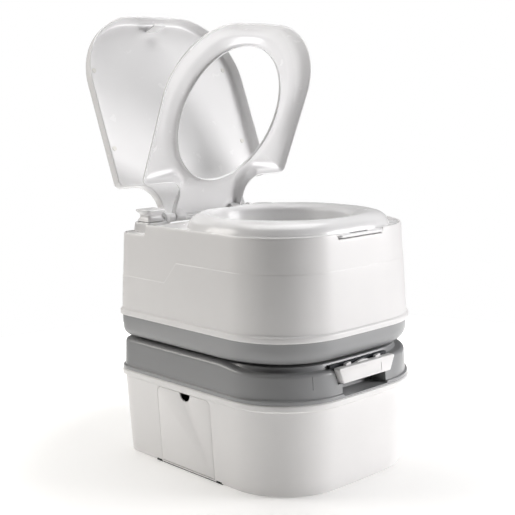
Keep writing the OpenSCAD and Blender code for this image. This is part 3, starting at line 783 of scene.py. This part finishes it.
def capped(h, y, top, edge, less):
    """Height of a skin over the axis plane: it blends into the neck, which falls towards the hinge."""
    v = 44 - (HINGE_Y - y)
    drop = top - (top - edge) * (v / 50) ** 2 if v > 0 else top + 4
    a, b, k = h + less, drop, 1.6
    t = min(max(0.5 + 0.5 * (b - a) / k, 0), 1)
    return b + (a - b) * t - k * t * (1 - t) * (1 if v > -10 else 0) - less


def knuckle(x0, x1, height):
    """Hinge knuckle along X: a round barrel that runs into the underside of seat or lid."""
    root = [(HINGE_Y + 6, height * 0.6), (HINGE_Y + 3, height), (HINGE_Y - 9, height)]
    return extruded(arc(HINGE_Y, 0, 7.4, 180, 360, 20) + root, x0, x1, "x", 0.6)


def make_seat():
    """Arched hollow seat round an oval opening, with a flatter neck and two hinge knuckles."""
    top, edge, wall, inset = 20.6, 8.6, 2.6, 9
    inner = seat_outline(inset)
    hole = [on_ellipse(p, HOLE_A, HOLE_B) for p in inner]
    across = 46

    def band(s):
        if s <= inset:
            return seat_outline(max(s, 0))
        t = min((s - inset) / across, 1)
        k = smooth(t / 0.65)
        shares = [t + k * max(0, (1 - t) * (1 - across / (q - p).length)) for p, q in zip(inner, hole)]
        return [p.lerp(q, share) for p, q, share in zip(inner, hole, shares)]

    lip = [(inset + across * 0.7, top - 1.5), (inset + across * 0.92, top - 4.5), (inset + across, top - 8),
           (inset + across, top - 10.5)]
    arched = curve([(0, 2.8), (3, 6.2), (inset, 11.6), (17, 16.6), (25, 19.5), (32, top)] + lip, 5)
    upright = curve([(0, 2.8), (0.4, 7.8), (3, 14), (inset, 18), (17, 19.4), (30, top)] + lip, 5)
    out = []
    for a, b in zip(thick(arched, wall), thick(upright, wall)):
        ring = []
        for p, q in zip(band(a[0]), band(b[0])):
            k = smooth((p.y - 96) / 30)
            r, h, less = p.lerp(q, k), a[1] + (b[1] - a[1]) * k, a[2] + (b[2] - a[2]) * k
            ring.append(Vector((r.x, r.y, capped(h, r.y, top, edge, less))))
        out.append(ring)
    seat = solid("seat_ring", loft(out, closed=True), opened(SEAT_OPEN))
    cover = under_seat(0.4)
    cover.transform(opened(SEAT_OPEN) @ Matrix.Translation((0, 0, -HINGE_Z)))
    carve(seat, cover)
    dress(seat, GLOSS, "seat", ["seat"], 60)
    barrel = knuckle(55, 75, 8.4)
    pair = solid("seat_knuckles", merged(mirrored(barrel), barrel), opened(SEAT_OPEN))
    dress(pair, GLOSS, "seat", ["seat"])


def make_lid():
    """Thin lid with a deep rounded edge, hinge knuckles, finger strip and hook."""
    top, edge, wall, inset, across = 24.3, 11.5, 2.4, 14, 100
    flat = lid_outline(inset)
    middle = [CENTRE for _ in flat]

    def band(s):
        return lid_outline(max(s, 0)) if s <= inset else mix(flat, middle, (s - inset) / across)

    path = curve([(0, 2.5), (0.2, 8), (0.6, 14.3), (2.2, 19.8), (6.4, 23.3), (inset, top)], 5)
    path += [Vector((inset + across * t, top)) for t in (0.08, 0.2, 0.4, 0.6, 0.8, 0.95)]
    closed = thick(path, wall)
    count = len(path)
    start = count + 3
    order = closed[start:] + closed[:count]
    out = []
    for s, h, less in order:
        out.append([Vector((p.x, p.y, capped(h, p.y, top, edge, less))) for p in band(s)])
    lid = solid("lid_shell", loft(out), opened(LID_OPEN))
    dress(lid, GLOSS, "lid", ["lid"], 50)
    barrel = knuckle(78, 91.4, 12)
    finger = extruded([(-40, -210), (40, -210), (36, -216.5), (-36, -216.5)], 3.2, 7, "z", 1)
    stem = block((-13, -195, -5.5), (13, -192.6, top - 1.5), 0.8)
    hook = merged(stem, block((-13, -195.6, -6), (13, -192.6, -3.5), 0.8))
    parts = solid("lid_fittings", merged(mirrored(barrel), barrel, finger, hook), opened(LID_OPEN))
    dress(parts, GLOSS, "lid", ["lid"])


make_tub()
make_panel()
make_tank()
make_handle()
make_tray()
make_shell()
make_bowl()
make_deck()
make_pump()
make_caps()
make_latch()
make_vent_spring()
make_seat()
make_lid()

# CAD nodes that keep their own shape and take a finish
FINISHES = {
    DARK: ["valve_housing", "valve_blade", "vent_button"],
    RUBBER_AND_SHADE: ["mouth_seal", "spout_gasket", "bowl_gasket", "cap_seal"],
    STEEL: ["valve_screws", "latch_pin", "hinge_pins"],
    GREY: ["pour_spout"],
    GLOSS: ["filler_neck"],
    NATURAL: ["flush_nozzle", "flush_hose", "suction_tube", "pump_rod", "lid_pads"],
}
for material, names in FINISHES.items():
    for name in names:
        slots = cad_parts[name].data.materials
        slots.clear()
        slots.append(material)


# ---------- stage, light and camera ----------
def make_floor():
    """Pale floor disc that fades into the white backdrop towards its edge."""
    bm = bmesh.new()
    bmesh.ops.create_circle(bm, cap_ends=True, radius=1.1, segments=96)
    mesh = bpy.data.meshes.new("floor")
    bm.to_mesh(mesh)
    bm.free()
    floor = bpy.data.objects.new("floor", mesh)
    bpy.context.scene.collection.objects.link(floor)
    mat = bpy.data.materials.new("pale_floor")
    mat.use_nodes = True
    shader = mat.node_tree.nodes["Principled BSDF"]
    shader.inputs["Base Color"].default_value = (0.82, 0.815, 0.805, 1)
    shader.inputs["Roughness"].default_value = 0.6
    shader.inputs["Emission Color"].default_value = (1, 0.995, 0.985, 1)
    tree = mat.node_tree
    coord = tree.nodes.new("ShaderNodeTexCoord")
    length = tree.nodes.new("ShaderNodeVectorMath")
    length.operation = "LENGTH"
    glow = tree.nodes.new("ShaderNodeMapRange")
    for key, value in {"From Min": 0.38, "From Max": 0.95, "To Min": 0.25, "To Max": 1.0}.items():
        glow.inputs[key].default_value = value
    tree.links.new(coord.outputs["Object"], length.inputs[0])
    tree.links.new(length.outputs["Value"], glow.inputs["Value"])
    tree.links.new(glow.outputs["Result"], shader.inputs["Emission Strength"])
    mesh.materials.append(mat)


def softbox(name, place, target, size, power, colour):
    """Rectangular area light that faces a target."""
    data = bpy.data.lights.new(name, "AREA")
    data.shape = "RECTANGLE"
    data.size, data.size_y = size
    data.energy = power
    data.color = colour
    light = bpy.data.objects.new(name, data)
    light.location = place
    light.rotation_euler = (Vector(target) - Vector(place)).to_track_quat("-Z", "Y").to_euler()
    bpy.context.scene.collection.objects.link(light)


def make_world():
    """White room: the camera sees plain white, and the object is lit less from the front than from behind."""
    world = bpy.data.worlds.new("studio")
    bpy.context.scene.world = world
    world.use_nodes = True
    tree = world.node_tree
    ambient = tree.nodes["Background"]
    coord = tree.nodes.new("ShaderNodeTexCoord")
    dot = tree.nodes.new("ShaderNodeVectorMath")
    dot.operation = "DOT_PRODUCT"
    dot.inputs[1].default_value = (-0.69, -0.72, 0.0)
    tree.links.new(coord.outputs["Generated"], dot.inputs[0])
    level = tree.nodes.new("ShaderNodeMapRange")
    for key, value in {"From Min": -0.6, "From Max": 0.75, "To Min": 0.12, "To Max": 0.0}.items():
        level.inputs[key].default_value = value
    tree.links.new(dot.outputs["Value"], level.inputs["Value"])
    tree.links.new(level.outputs["Result"], ambient.inputs["Strength"])
    backdrop = tree.nodes.new("ShaderNodeBackground")
    backdrop.inputs["Strength"].default_value = 1.0
    rays = tree.nodes.new("ShaderNodeLightPath")
    choose = tree.nodes.new("ShaderNodeMixShader")
    tree.links.new(rays.outputs["Is Camera Ray"], choose.inputs[0])
    tree.links.new(ambient.outputs[0], choose.inputs[1])
    tree.links.new(backdrop.outputs[0], choose.inputs[2])
    tree.links.new(choose.outputs[0], tree.nodes["World Output"].inputs["Surface"])
    backdrop.inputs["Color"].default_value = (1, 1, 1, 1)
    ambient.inputs["Color"].default_value = (1, 1, 1, 1)


def make_camera():
    """Camera in front and to the left of the object, above the rim and looking slightly down."""
    azimuth, pitch, roll = -0.7503, 0.16089, -0.01967
    place = (-1.1617, -1.2155, 0.6013)
    level = math.cos(pitch)
    ahead = Vector((-math.sin(azimuth) * level, math.cos(azimuth) * level, -math.sin(pitch)))
    right = Vector((math.cos(azimuth), math.sin(azimuth), 0))
    up = right.cross(ahead)
    right, up = right * math.cos(roll) + up * math.sin(roll), up * math.cos(roll) - right * math.sin(roll)
    data = bpy.data.cameras.new("camera")
    data.sensor_width = 36
    data.lens = 72.11
    data.shift_x, data.shift_y = 0.0004, 0.0052
    camera = bpy.data.objects.new("camera", data)
    rows = [(right[k], up[k], -ahead[k], place[k]) for k in range(3)]
    camera.matrix_world = Matrix(rows + [(0, 0, 0, 1)])
    bpy.context.scene.collection.objects.link(camera)
    bpy.context.scene.camera = camera


make_floor()
make_world()
make_camera()
softbox("key", (1.5, -1.8, 0.85), (0, 0, 0.42), (1.1, 1.3), 46, (1, 0.99, 1))
softbox("side", (-1.4, 1.4, 1.35), (0, 0, 0.4), (1.0, 1.2), 25, (1, 0.97, 0.93))
softbox("top", (0.3, 0.3, 2.3), (0, 0, 0), (1.8, 1.8), 39, (1, 1, 1))
bpy.context.scene.view_settings.view_transform = "Standard"
